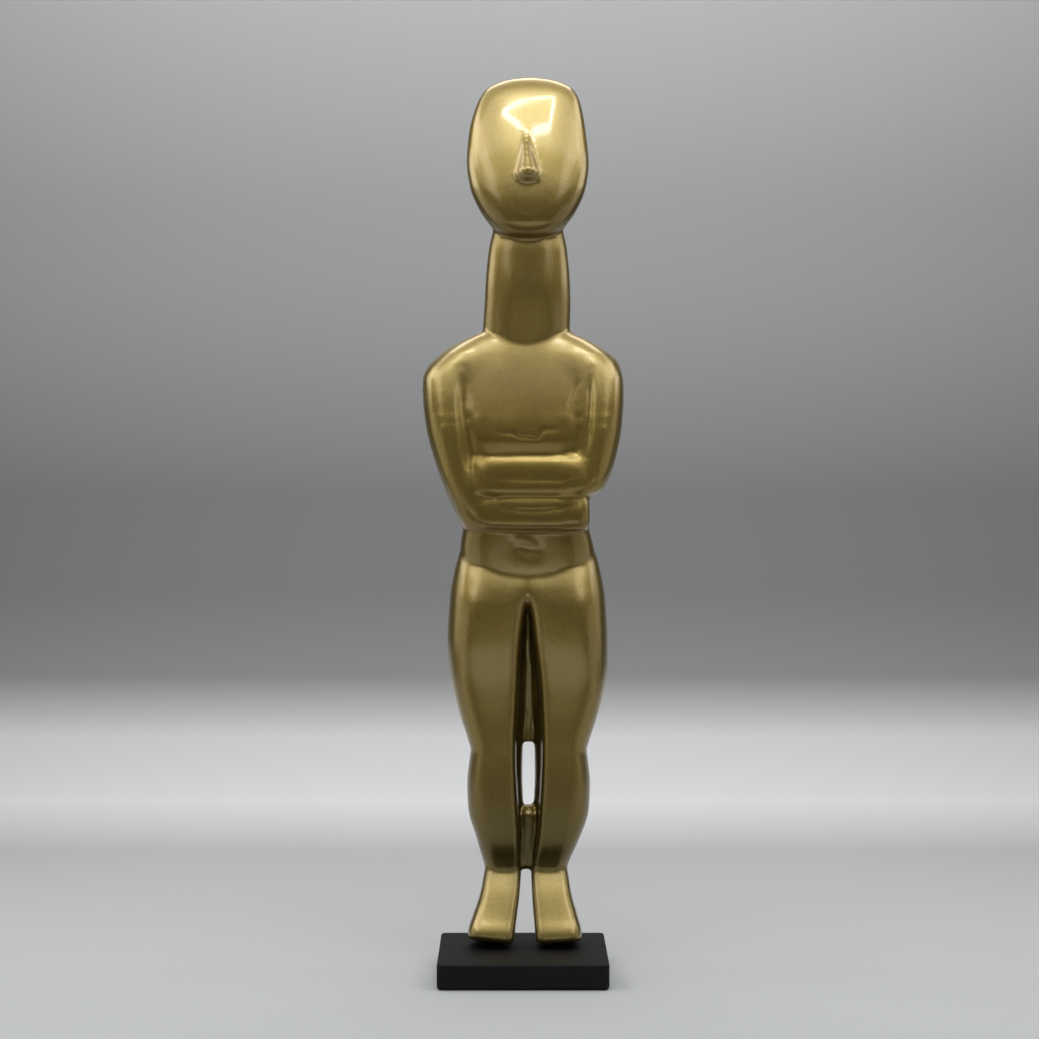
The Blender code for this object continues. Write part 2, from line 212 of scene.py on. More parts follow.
# The figure is one casting, so every part of the body is a rounded mass that runs into its neighbours.
# Each mass is drawn out along its own sections, in millimetres from the heels and from the middle plane.
# Their heights and widths were read from the outline in the photograph, and their depths are guessed.
MILLIMETRE = 0.001
FIGURE_SET_BACK = 0.012
SECTION_SIDES = 96
STEPS_PER_SECTION = 6
SWAY = {
    "soles": (0, 0.7),
    "ankles": (26, 1.2),
    "shins": (42, 2.1),
    "thighs": (92, 2.2),
    "buttocks": (112, 1.7),
    "hips": (138, 1.7),
    "waist": (150, 1.2),
    "shoulder points": (205, 0.1),
    "collarbones": (212, 1.0),
    "neck": (235, 1.8),
    "jaw": (264, 1.9),
    "brow": (292, 1.7),
    "crown": (312, 2.6),
}


def slope_through(before, after):
    """The slope at a section that never carries the curve past its neighbours."""
    if before * after <= 0:
        return 0.0
    return 2 * before * after / (before + after)


def eased(values, gaps):
    """A smooth run through the values, with steps put in between each pair."""
    rises = [(b - a) / gap for a, b, gap in zip(values, values[1:], gaps)]
    slopes = [rises[0]]
    slopes += [slope_through(before, after) for before, after in zip(rises, rises[1:])]
    slopes.append(rises[-1])
    run = []
    for i, gap in enumerate(gaps):
        for step in range(STEPS_PER_SECTION):
            t = step / STEPS_PER_SECTION
            start = values[i] * (1 + 2 * t) * (1 - t) ** 2 + slopes[i] * gap * t * (1 - t) ** 2
            end = values[i + 1] * t * t * (3 - 2 * t) - slopes[i + 1] * gap * t * t * (1 - t)
            run.append(start + end)
    run.append(values[-1])
    return run


def flowing(sections):
    """The sections with smooth ones put in between them."""
    stations = [section[0] for section in sections]
    gaps = [b - a for a, b in zip(stations, stations[1:])]
    return list(zip(*[eased(column, gaps) for column in zip(*sections)]))


def sway(height):
    """How far the middle line stands to the right at a height."""
    places = list(SWAY.values())
    for (low, before), (high, after) in zip(places, places[1:]):
        if height <= high:
            t = (height - low) / (high - low)
            return before + (after - before) * t * t * (3 - 2 * t)
    return places[-1][1]


def upright(station, across, away):
    return Vector((across + sway(station), away, station))


def lying(station, across, away):
    return Vector((station + sway(across), away, across))


def squared(value, squareness):
    return math.copysign(abs(value) ** (2 / squareness), value)


def add_mass(bm, sections, place, low_squareness, high_squareness, back_squareness=2.4):
    """Draws a sphere out along its sections: station, low side, high side, front and back.

    A squareness of 2 gives an ellipse, and more gives a squarer section.
    """
    run = flowing(sections)
    ball = bmesh.new()
    bmesh.ops.create_uvsphere(ball, u_segments=SECTION_SIDES, v_segments=len(run) + 1, radius=1)
    for vert in ball.verts:
        level = round(math.acos(max(-1.0, min(1.0, -vert.co.z))) / math.pi * (len(run) + 1))
        station, low, high, front, back = run[max(0, min(len(run) - 1, level - 1))]
        on_axis = level in (0, len(run) + 1)
        along, away = (0.0, 0.0) if on_axis else Vector(vert.co.xy).normalized()
        squareness = back_squareness if away > 0 else high_squareness if along > 0 else low_squareness
        across = (low + high) / 2 + (high - low) / 2 * squared(along, squareness)
        depth = (front + back) / 2 + (back - front) / 2 * squared(away, squareness)
        vert.co = place(station, across, depth) * MILLIMETRE
    mass = bpy.data.meshes.new("mass")
    ball.to_mesh(mass)
    ball.free()
    bm.from_mesh(mass)
    bpy.data.meshes.remove(mass)


def add_middle_mass(bm, sections, squareness):
    whole = [(height, -half, half, front, back) for height, half, front, back in sections.values()]
    add_mass(bm, whole, upright, squareness, squareness)


def add_side_mass(bm, sections, side, inner_squareness, outer_squareness, place=upright):
    """Adds a mass beside the middle line: to its left for side -1, to its right for side 1."""
    turned = []
    for height, inner, outer, front, back in sections.values():
        low, high = sorted((side * inner, side * outer))
        turned.append((height, low, high, front, back))
    if side > 0:
        add_mass(bm, turned, place, inner_squareness, outer_squareness)
    else:
        add_mass(bm, turned, place, outer_squareness, inner_squareness)


body = bmesh.new()

# The feet hang toes down, as on all figures of this kind, and the figure stands on the flats of its heels.
# Their fronts are flat boards with a tight inner edge, and the outer corner of the toes turns up a little.
FOOT = {
    "heel print": (0.0, 8.0, 16.6, -3.0, 3.4),
    "heel edge": (0.5, 6.0, 18.4, -8.5, 4.2),
    "sole at the toes": (1.5, 4.4, 20.0, -15.0, 4.6),
    "toe tips": (2.7, 4.0, 20.3, -16.5, 4.9),
    "toe tops": (4.6, 3.8, 20.2, -16.1, 5.2),
    "toe roots": (10.0, 3.2, 18.7, -13.2, 5.9),
    "instep": (18.0, 2.4, 16.2, -8.9, 7.4),
    "ankle": (26.0, 2.0, 14.7, -4.0, 8.8),
    "inside the leg": (30.0, 3.4, 13.4, -1.6, 8.6),
}
TOE_LIFT = {-1: 2.4, 1: 1.2}
TOE_LIFT_ENDS_AT = 14.0


def foot_on(side):
    """A place function for a foot, whose toes turn up towards their outer corner."""
    inner, outer, front = FOOT["toe tips"][1:4]

    def place(station, across, away):
        outward = (side * across - inner) / (outer - inner)
        forward = max(0.0, min(1.0, away / front))
        low = max(0.0, 1 - station / TOE_LIFT_ENDS_AT)
        return upright(station + TOE_LIFT[side] * outward * forward * low, across, away)

    return place


for side in (-1, 1):
    add_side_mass(body, FOOT, side, inner_squareness=7.0, outer_squareness=4.6, place=foot_on(side))

# The legs bend a little at the knee. Behind its front edge each leg runs in towards the other, and a thin
# web joins them, but for a long slot at the knees and calves and the gap between the feet.
LEG = {
    "inside the foot": (22.0, 3.6, 13.8, -3.2, 9.0),
    "ankle": (27.0, 2.9, 14.9, -4.4, 9.6),
    "lower shin": (37.0, 3.3, 18.3, -8.6, 12.0),
    "shin": (48.0, 3.9, 21.6, -10.9, 13.4),
    "calf": (57.0, 4.4, 22.0, -12.3, 13.2),
    "under the knee": (67.0, 4.8, 21.0, -13.5, 11.9),
    "knee": (69.6, 4.8, 20.7, -13.8, 11.6),
    "over the knee": (72.4, 4.8, 21.4, -14.1, 11.9),
    "lower thigh": (84.0, 4.2, 25.1, -15.7, 13.8),
    "mid thigh": (98.0, 3.2, 28.1, -17.1, 15.9),
    "buttocks": (110.0, 2.0, 28.6, -17.6, 16.5),
    "fork": (122.0, 0.3, 27.8, -17.2, 16.1),
    "hip": (127.0, -2.5, 26.4, -16.3, 15.4),
    "groin": (132.0, -5.0, 24.5, -14.6, 13.9),
    "inside the belly": (138.0, -6.0, 22.0, -11.5, 12.4),
    "leg top": (143.0, 4.0, 19.0, -5.0, 9.0),
}
HIP_LIFT = 8.0
HIP_LEAN = 0.2
HIPS_FROM = 116.0
HIPS_TO = 138.0
HIP_HALF_WIDTH = 22.0


def leg_place(station, across, away):
    """A place on a leg, whose top rises and leans back from the middle of the body out to the hips."""
    t = max(0.0, min(1.0, (station - HIPS_FROM) / (HIPS_TO - HIPS_FROM)))
    outward = (across / HIP_HALF_WIDTH) ** 2 * t * t * (3 - 2 * t)
    return upright(station + HIP_LIFT * outward, across, away * (1 - HIP_LEAN * outward))


INNER_WALL = {
    "inside the foot": (22.0, 3.0, 11.0, 1.0, 9.0),
    "ankle": (26.5, 1.9, 12.0, 0.0, 9.0),
    "shin": (48.0, 2.1, 14.0, -0.6, 12.0),
    "calf": (60.0, 2.5, 15.0, -0.6, 12.0),
    "knee": (72.0, 2.2, 15.0, -0.6, 11.0),
    "lower thigh": (84.0, 1.0, 15.0, -1.6, 13.0),
    "mid thigh": (100.0, 0.4, 15.0, -2.6, 15.0),
    "upper thigh": (118.0, 0.2, 14.0, -5.6, 15.0),
    "fork": (128.0, 2.0, 12.0, -8.0, 12.0),
}
LOWER_WEB = {
    "above the ankles": (26.0, 2.4, -0.4, 5.0),
    "between the ankles": (28.0, 4.0, -1.2, 6.0),
    "between the calves": (45.0, 4.0, -0.6, 6.0),
    "under the slot": (48.6, 2.0, 2.0, 5.0),
}
UPPER_WEB = {
    "over the slot": (71.8, 2.4, 3.0, 6.5),
    "between the knees": (75.0, 3.4, 2.4, 7.5),
    "between the thighs": (108.0, 3.4, 1.0, 9.5),
    "under the fork": (121.0, 3.4, -2.4, 10.0),
    "fork": (129.0, 3.4, -11.0, 11.0),
}
for side in (-1, 1):
    add_side_mass(body, LEG, side, inner_squareness=6.0, outer_squareness=2.5, place=leg_place)
    add_side_mass(body, INNER_WALL, side, inner_squareness=2.0, outer_squareness=2.0)
add_middle_mass(body, LOWER_WEB, squareness=2.0)
add_middle_mass(body, UPPER_WEB, squareness=1.5)

# The thighs lean back to meet the upright belly along a curved line, and above it come a waist and a chest
# that leans back to the neck. All of these are squarer than the limbs.
BELLY = {
    "inside the hips": (122.0, 17.0, -9.5, 10.0),
    "groin": (128.0, 21.4, -13.9, 13.4),
    "lower belly": (135.0, 23.5, -14.6, 13.6),
    "navel": (142.0, 23.8, -14.9, 13.0),
    "waist": (150.0, 22.4, -15.2, 12.7),
    "behind the arms": (160.0, 21.6, -14.0, 12.6),
    "inside the chest": (170.0, 20.0, -12.0, 12.0),
}
CHEST = {
    "behind the lower arm": (150.0, 19.0, -11.0, 11.0),
    "behind the arms": (160.0, 20.4, -12.8, 12.6),
    "under the breasts": (177.0, 21.6, -14.4, 13.2),
    "breast line": (181.0, 22.2, -14.9, 13.6),
    "breasts": (186.0, 23.4, -14.3, 13.9),
    "upper breasts": (193.0, 24.5, -12.8, 14.1),
    "upper chest": (203.0, 24.0, -10.3, 14.0),
    "collarbone hollow": (210.0, 19.0, -8.4, 12.6),
    "inside the shoulders": (217.0, 12.0, -6.2, 10.0),
}
SHOULDERS = {
    "under the arms' tops": (180.0, 22.0, -4.0, 8.0),
    "under the shoulders": (189.0, 28.0, -8.6, 11.0),
    "armpits": (197.0, 33.8, -9.4, 12.8),
    "shoulder points": (203.5, 36.0, -9.6, 13.8),
    "shoulder tops": (208.8, 34.1, -8.6, 13.2),
    "collarbones": (214.5, 27.6, -6.8, 12.2),
    "neck slope": (219.0, 18.8, -4.8, 10.6),
    "inside the neck": (222.6, 8.0, -1.0, 8.0),
}
add_middle_mass(body, BELLY, squareness=2.7)
add_middle_mass(body, CHEST, squareness=3.8)
add_middle_mass(body, SHOULDERS, squareness=2.7)

# The arms are folded. The right elbow is the higher one: its forearm crosses on top and ends against the
# left arm's groove, and the left forearm lies below it with a flat underside.
UPPER_ARM = {
    "above the elbow": (174.0, 16.8, 32.2, -14.3, 12.0),
    "mid arm": (185.0, 17.6, 34.8, -13.6, 12.9),
    "upper arm": (196.0, 18.0, 36.0, -11.8, 12.9),
    "arm top": (203.0, 17.6, 36.1, -9.9, 12.4),
    "shoulder top": (208.8, 15.6, 33.6, -8.0, 11.6),
    "collarbone": (214.0, 11.0, 27.4, -5.8, 9.5),
    "inside the shoulder": (218.0, 10.0, 19.0, -3.0, 7.0),
}
RIGHT_ELBOW = {
    "under the right elbow": (161.6, 20.0, 24.0, -8.0, 6.0),
    "right elbow": (163.0, 17.6, 27.1, -12.6, 9.5),
    "above the right elbow": (167.0, 16.6, 29.5, -14.8, 11.2),
}
LEFT_ELBOW = {
    "under the left elbow": (148.6, 14.0, 19.0, -8.0, 6.0),
    "left elbow": (150.0, 11.0, 22.4, -13.0, 9.5),
    "above the left elbow": (157.0, 12.0, 26.0, -15.2, 10.6),
    "left forearm root": (165.0, 15.8, 29.2, -14.9, 11.3),
}
FOREARM_IN_FRONT = {
    "inside the left arm": (-23.0, 164.0, 173.0, -11.0, 0.0),
    "hand": (-17.5, 161.4, 175.4, -15.0, 0.0),
    "wrist": (-11.0, 160.8, 176.4, -16.2, 0.0),
    "forearm": (1.0, 160.6, 176.6, -16.6, 0.0),
    "mid forearm": (11.0, 160.6, 176.4, -16.6, 0.0),
    "near the elbow": (20.0, 161.6, 175.8, -15.8, 0.0),
    "inside the right arm": (27.5, 164.0, 173.5, -11.0, 0.0),
}
FOREARM_BELOW = {
    "inside the left arm": (-23.0, 152.0, 161.4, -10.0, 0.0),
    "near the elbow": (-15.0, 149.6, 162.2, -15.9, 0.0),
    "forearm": (0.0, 149.0, 162.6, -17.3, 0.0),
    "wrist": (11.0, 149.0, 162.6, -17.2, 0.0),
    "hand": (19.0, 149.2, 162.0, -16.2, 0.0),
    "fingertips": (22.4, 150.2, 160.8, -14.4, 0.0),
}
FRONT_LEAN = (168.0, 7.0)
BELOW_LEAN = (156.0, 5.0)


def leaning(level, degrees):
    """A place function for a mass across the body that leans back above a level and forward below it."""
    lean = math.tan(math.radians(degrees))

    def place(station, across, away):
        return lying(station, across, away + lean * (across - level))

    return place


add_side_mass(body, LEFT_ELBOW | UPPER_ARM, side=-1, inner_squareness=3.4, outer_squareness=2.3)
add_side_mass(body, RIGHT_ELBOW | UPPER_ARM, side=1, inner_squareness=3.4, outer_squareness=2.3)
for forearm, lean in ((FOREARM_IN_FRONT, FRONT_LEAN), (FOREARM_BELOW, BELOW_LEAN)):
    add_mass(body, list(forearm.values()), leaning(*lean), low_squareness=5.0, high_squareness=4.0)

# The long neck is nearly round. The head is a flat oval mask that leans back, widest at the cheeks, with a
# broad crown and a full chin, and its one feature is a wedge of a nose.
NECK = {
    "neck root": (206.0, 15.6, -6.0, 11.2),
    "collar": (221.0, 15.5, -7.0, 11.6),
    "mid neck": (236.0, 15.1, -7.9, 11.4),
    "throat": (249.0, 14.0, -7.1, 10.6),
    "neck top": (257.0, 12.3, -5.2, 9.4),
    "inside the head": (263.0, 10.5, -3.0, 8.0),
}
HEAD = {
    "under the chin": (253.4, 5.0, -6.6, 6.0),
    "chin": (255.2, 9.9, -9.9, 8.4),
    "jaw": (259.4, 14.1, -11.7, 10.0),
    "lower lip": (265.0, 17.8, -11.5, 10.9),
    "cheeks": (272.0, 20.6, -10.6, 11.8),
    "nose bridge": (281.0, 21.8, -8.5, 12.6),
    "forehead": (292.0, 20.9, -5.1, 13.2),
    "temples": (302.5, 18.6, -1.2, 13.6),
    "crown edge": (307.6, 16.0, 1.2, 13.0),
    "crown": (310.9, 10.2, 3.8, 11.4),
    "crown top": (312.3, 3.2, 6.2, 9.0),
}
NOSE_ROOT = {
    "under the nose": (272.8, 3.6, -10.5, -5.0),
    "nose foot": (276.0, 7.0, -12.1, -5.0),
    "beside the nose": (280.0, 5.6, -10.7, -5.0),
    "beside the bridge": (284.5, 2.8, -8.6, -4.0),
    "under the brow": (288.5, 0.8, -6.7, -2.0),
}
NOSE = {
    "under the nose": (273.2, -3.0, 3.0, -10.8, -5.0),
    "nostrils": (274.6, -3.9, 4.0, -12.9, -5.0),
    "nose tip": (276.8, -3.8, 3.9, -14.4, -5.0),
    "above the tip": (279.5, -3.1, 3.0, -12.9, -5.0),
    "mid nose": (284.5, -2.3, 1.5, -10.0, -4.0),
    "upper nose": (289.0, -1.8, 0.7, -7.1, -3.0),
    "brow": (293.6, -1.3, -0.3, -4.7, -2.0),
}
add_middle_mass(body, NECK, squareness=2.1)
add_middle_mass(body, HEAD, squareness=2.35)
add_middle_mass(body, NOSE_ROOT, squareness=0.9)
add_mass(body, list(NOSE.values()), upright, low_squareness=1.7, high_squareness=1.7)

# Casting and lacquering melt all of this into one skin without a seam, with the creases filled a little.
CASTING_GRID_MM = 0.78
SOFTENING_PASSES = 5
SOFTENING = 0.5
LACQUER_MM = 0.25
CROWN_GAP = 0.00002


def settled(rough, name):
    """A new object with the mesh that the rough one's modifiers leave. The rough one goes."""
    seen = rough.evaluated_get(bpy.context.evaluated_depsgraph_get())
    mesh = bpy.data.meshes.new_from_object(seen)
    mesh.name = name
    bpy.data.objects.remove(rough)
    piece = bpy.data.objects.new(name, mesh)
    bpy.context.scene.collection.objects.link(piece)
    return piece


rough_figure = piece_from(body, "rough_figure")
melt = rough_figure.modifiers.new("melt into one casting", "REMESH")
melt.mode = "VOXEL"
melt.voxel_size = CASTING_GRID_MM * MILLIMETRE
soften = rough_figure.modifiers.new("soften as lacquered", "SMOOTH")
soften.factor = SOFTENING
soften.iterations = SOFTENING_PASSES
figure = settled(rough_figure, "figure_casting")

# The last work on the pattern is done by hand. An area is rubbed smooth between two levels and two
# distances from the middle, in a number of rubs. Then the arms' grooves, the breast line, the forearms'
# lines and the navel with its fold are pressed in, each along a path, with a width and a depth.
RUBBED = {
    "shoulders": (186.0, 222.0, 17.0, 60.0, 22),
    "upper chest": (190.0, 212.0, 0.0, 32.0, 19),
    "inner elbows": (150.0, 188.0, 13.0, 26.0, 17),
}
TOOL_STROKES = {
    "navel": ([(-0.2, 143.2), (3.4, 142.2)], 2.9, 0.9),
    "navel fold": ([(-4.4, 145.4), (-0.8, 146.3), (3.2, 145.5), (5.2, 143.2)], 0.9, 0.2),
    "breast line": (
        [(-10.8, 184.2), (-4.2, 183.8), (-1.3, 182.3), (5.2, 182.0), (7.3, 184.8), (13.8, 185.2)],
        0.8, 0.32,
    ),
    "upper forearm": ([(-10.8, 167.6), (13.5, 167.2), (17.1, 168.3), (18.9, 170.1)], 0.85, 0.28),
    "lower forearm": (
        [(-10.8, 158.9), (-4.6, 156.9), (2.6, 156.0), (13.5, 156.9), (21.0, 158.7)], 0.85, 0.28,
    ),
    "beside the right groove": ([(20.0, 202.6), (17.6, 197.0), (15.7, 191.4)], 0.8, 0.2),
    "left arm groove": ([(-22.0, 206.0), (-21.2, 190.0), (-19.4, 176.0), (-16.6, 163.0)], 2.2, 1.1),
    "right arm groove": ([(24.4, 206.0), (23.8, 192.0), (22.8, 176.0)], 1.3, 1.0),
}
TAPER = 14.0
TAPER_SHARE = 0.3
REACH_IN_WIDTHS = 3
FRONT_FACING = -0.1


def distance_to(here, a, b):
    """How far a point is from the straight stretch between two others."""
    share = (here - a).dot(b - a) / (b - a).length_squared
    return (here - (a + (b - a) * max(0.0, min(1.0, share)))).length


def press_in(bm, path, width, depth):
    """Draws a round tool along a path of (across, height) points over the front of the figure."""
    points = [Vector(point) for point in path]
    length = sum((b - a).length for a, b in zip(points, points[1:]))
    reach = REACH_IN_WIDTHS * width
    low = [min(point[axis] for point in points) - reach for axis in (0, 1)]
    high = [max(point[axis] for point in points) + reach for axis in (0, 1)]
    for vert in bm.verts:
        across, height = vert.co.x / MILLIMETRE, vert.co.z / MILLIMETRE
        if vert.normal.y > FRONT_FACING:
            continue
        if not (low[0] < across < high[0] and low[1] < height < high[1]):
            continue
        here = Vector((across, height))
        nearest = min(distance_to(here, a, b) for a, b in zip(points, points[1:]))
        from_end = min((here - points[0]).length, (here - points[-1]).length)
        fade = 1.0
        if len(points) > 2:
            fade = min(1.0, (from_end + width) / min(TAPER, TAPER_SHARE * length))
        vert.co.y -= vert.normal.y * depth * fade * math.exp(-(nearest / width) ** 2) * MILLIMETRE


skin = bmesh.new()
skin.from_mesh(figure.data)
for low, high, inner, outer, passes in RUBBED.values():
    rubbed = [
        vert for vert in skin.verts
        if low < vert.co.z / MILLIMETRE < high and inner < abs(vert.co.x) / MILLIMETRE < outer
    ]
    for rub in range(passes):
        bmesh.ops.smooth_vert(
            skin, verts=rubbed, factor=SOFTENING, use_axis_x=True, use_axis_y=True, use_axis_z=True
        )
skin.normal_update()
for path, width, depth in TOOL_STROKES.values():
    press_in(skin, path, width, depth)
for vert in skin.verts:
    vert.co += vert.normal * LACQUER_MM * MILLIMETRE
heel_level, crown_level = (corner[2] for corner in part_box("figure"))
lowest = min(vert.co.z for vert in skin.verts)
highest = max(vert.co.z for vert in skin.verts)
stretch = (crown_level - CROWN_GAP - heel_level) / (highest - lowest)
bmesh.ops.translate(skin, verts=skin.verts, vec=(0, 0, -lowest))
bmesh.ops.scale(skin, verts=skin.verts, vec=(1, 1, stretch))
bmesh.ops.translate(skin, verts=skin.verts, vec=(0, FIGURE_SET_BACK, heel_level))
skin.to_mesh(figure.data)
skin.free()
figure.data.shade_smooth()

# The finish is a gold lacquer full of fine flake, under a clear coat. The flake lies at many angles, so it
# is grainy close up. Its dullness, tone and coat change in bands up the figure, matched to brightness
# measured in the photograph. The browner and darker bands, and the dark colour between the legs, are
# painted shade.
GOLD = (0.265, 0.187, 0.036, 1)
WARM_GOLD = (GOLD[0] * 1.08, GOLD[1] * 1.06, GOLD[2] * 1.15, 1)
PALE_GOLD = (0.40, 0.29, 0.075, 1)
DEEP_GOLD = (0.16, 0.11, 0.016, 1)
BROWN_SHADE_GOLD = (0.185, 0.115, 0.018, 1)
SHADE_GOLD = (0.09, 0.065, 0.014, 1)
METALLIC = 0.88
LACQUER_IOR = 1.5
COAT_IOR = 1.6
GLOSSY_COAT = 0.09
DULL_COAT = 0.24
GOLD_ROUGHNESS = 0.27
FLAKES_PER_METRE = 3600.0
FLAKE_DEPTH = 0.00006
FLAKE_SHARE = 0.35
GOLD_CLOUD_SCALE = 60.0
GOLD_DRIFT_SCALE = 14.0

# Each band: its level in metres, how dull it is, how much painted brown shade and painted dark shade it
# holds, and the weight of its dull coat
DULL, BROWN, DARK, COAT = range(1, 5)
FINISH_BY_HEIGHT = {
    "feet": (0.030, 0.6, 0.0, 0.0, 1.0),
    "shins": (0.042, 0.9, 0.0, 0.8, 0.4),
    "calves": (0.062, 0.9, 0.0, 0.4, 0.4),
    "knees": (0.085, 0.9, 0.0, 0.1, 0.4),
    "thighs": (0.128, 0.8, 0.0, 0.0, 0.6),
    "hips": (0.143, 0.7, 0.0, 0.0, 1.0),
    "belly": (0.155, 0.7, 0.3, 0.35, 0.35),
    "forearms": (0.18, 1.0, 0.7, 0.0, 0.3),
    "chest": (0.200, 0.95, 0.7, 0.0, 0.4),
    "shoulder points": (0.213, 0.85, 0.5, 0.0, 1.0),
    "shoulders": (0.232, 0.85, 0.2, 0.0, 0.8),
    "neck": (0.252, 0.8, 0.3, 0.1, 0.6),
    "chin": (0.267, 0.8, 0.5, 0.4, 0.4),
    "cheeks": (0.282, 0.5, 0.0, 0.0, 1.0),
    "forehead": (0.300, 0.15, 0.0, 0.0, 1.0),
    "crown": (0.3185, 0.6, 0.0, 0.0, 1.0),
}
BROWN_SHADE_REACH = (0.015, 0.026)
# Painted shade in the cleft between the legs: how far across, how deep in and how high it reaches, and its
# strength
CLEFT_SHADE_ACROSS = (0.0064, 0.0048)
CLEFT_SHADE_AWAY = (0.001, 0.008)
CLEFT_SHADE_TOP = (0.138, 0.126)
CLEFT_SHADE_STRENGTH = 0.3

gold_lacquer, place = new_finish(
    "gold flake lacquer", Metallic=METALLIC, IOR=LACQUER_IOR,
    Coat_Weight=1.0, Coat_Roughness=GLOSSY_COAT, Coat_IOR=COAT_IOR,
)
flake = place.node(
    "ShaderNodeTexVoronoi", {"feature": "F1"}, {"Vector": place, "Scale": FLAKES_PER_METRE}, output="Color"
)
tone = flake.node("ShaderNodeSeparateColor", {}, {"Color": flake})
tilt = flake.node("ShaderNodeSeparateColor", {}, {"Color": flake}, output=1)
cloud = place.noise(GOLD_CLOUD_SCALE, detail=4.0, roughness=0.6)
drift = place.noise(GOLD_DRIFT_SCALE, detail=2.0)
across, away, height = place.by_axis()
off_middle = across.maths("ABSOLUTE", across, 0.0)
figure_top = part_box("figure")[1][2]


def by_height(column):
    """A wire that follows one column of the bands up the figure."""
    stops = []
    for band in FINISH_BY_HEIGHT.values():
        grey = band[column]
        stops.append((band[0] / figure_top, (grey, grey, grey, 1)))
    return height.node("ShaderNodeValToRGB", {"stops": stops}, {0: height * (1 / figure_top)})


dulled = by_height(DULL)
# Painted shade: the colour is browner in bands over the belly, forearms, chest, neck and chin, near the
# middle.
brown_painted_shade = by_height(BROWN) * (1 - off_middle.between(*BROWN_SHADE_REACH))
brown_painted_shade = brown_painted_shade * (0.5 + cloud.between(0.35, 0.65) * 0.7)
# Painted shade: the cleft between the legs is darkened below the hips.
painted_cleft_shade = off_middle.between(*CLEFT_SHADE_ACROSS) * away.between(*CLEFT_SHADE_AWAY) * CLEFT_SHADE_STRENGTH
painted_cleft_shade = painted_cleft_shade * height.between(*CLEFT_SHADE_TOP)
even = drift.between(0.3, 0.7).colour_from(GOLD, WARM_GOLD)
dusted = (tone * 0.75 + cloud * 0.25).between(0.1, 0.9).colour_from(DEEP_GOLD, PALE_GOLD)
flecks = {"Factor": FLAKE_SHARE, 6: even, 7: dusted}
colour = place.node("ShaderNodeMix", {"data_type": "RGBA"}, flecks, output=2)
colour = brown_painted_shade.colour_from(colour, BROWN_SHADE_GOLD)
# Painted shade: the colour is darker in bands over the shins, calves, belly, neck and chin.
colour = by_height(DARK).colour_from(colour, SHADE_GOLD)
colour = painted_cleft_shade.colour_from(colour, SHADE_GOLD)
roughness = GOLD_ROUGHNESS + tone * 0.08 + cloud * 0.05
bump = place.node("ShaderNodeBump", {}, {"Strength": 0.35, "Distance": FLAKE_DEPTH, "Height": tilt})
colour.into("Base Color")
roughness.into("Roughness")
bump.into("Normal")
dull = place.node("ShaderNodeBsdfPrincipled", {}, {
    "Base Color": colour, "Roughness": roughness, "Normal": bump, "Metallic": METALLIC, "IOR": LACQUER_IOR,
    "Coat Weight": by_height(COAT), "Coat Roughness": DULL_COAT, "Coat IOR": COAT_IOR,
})
tree = gold_lacquer.node_tree
glossy = Wire(tree.nodes["Principled BSDF"].outputs[0])
both = glossy.node("ShaderNodeMixShader", {}, {0: dulled, 1: glossy, 2: dull})
tree.links.new(both.socket, tree.nodes["Material Output"].inputs["Surface"])
figure.data.materials.append(gold_lacquer)
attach(figure, "root")
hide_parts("figure")


# The object stands on a matt sheet of paper, which turns up behind it in a wide curve and then hangs
# upright.
# Its greys are painted light and shade: grey at the object, nearly white before the turn, dark above it and
# light again at the top. A nearly black band of painted shade crosses the floor just in front of the
# camera's view, and the gold mirrors it.
SHEET_HALF_WIDTH = 0.5
SHEET_FRONT = -1.5
SHEET_TURNS_AT = 0.45
SHEET_TURN_RADIUS = 0.35
SHEET_TOP = 2.2
# Painted light and shade along the sheet: each grey and where it starts, in metres along the sheet.
SHEET_PAINTED_LIGHT_GREYS = {
    "near the camera": (-0.90, 0.70),
    "well in front": (-0.45, 0.80),
    "in front": (-0.24, 0.04),
    "close in front": (-0.125, 0.04),
    "at the object": (-0.105, 0.41),
    "behind it": (0.28, 0.46),
    "before the turn": (0.45, 0.82),
    "start of the turn": (0.59, 0.72),
    "turning": (0.68, 0.29),
    "upright": (0.79, 0.235),
    "low wall": (0.90, 0.245),
    "middle wall": (1.00, 0.355),
    "wall": (1.15, 0.55),
    "top": (1.28, 0.75),
}
GREYS_FROM = -1.0
GREYS_OVER = 2.3
PAPER_TINT = (0.985, 0.995, 1.0)
TURN_STEPS = 32


def drawn_on(bm, edge, step):
    """Extrudes the last edge of the sheet by a step, and gives the new last edge."""
    grown = bmesh.ops.extrude_edge_only(bm, edges=[edge])["geom"]
    verts = [item for item in grown if isinstance(item, bmesh.types.BMVert)]
    edges = [item for item in grown if isinstance(item, bmesh.types.BMEdge)]
    bmesh.ops.translate(bm, verts=verts, vec=step)
    return next(item for item in edges if len(item.link_faces) == 1)


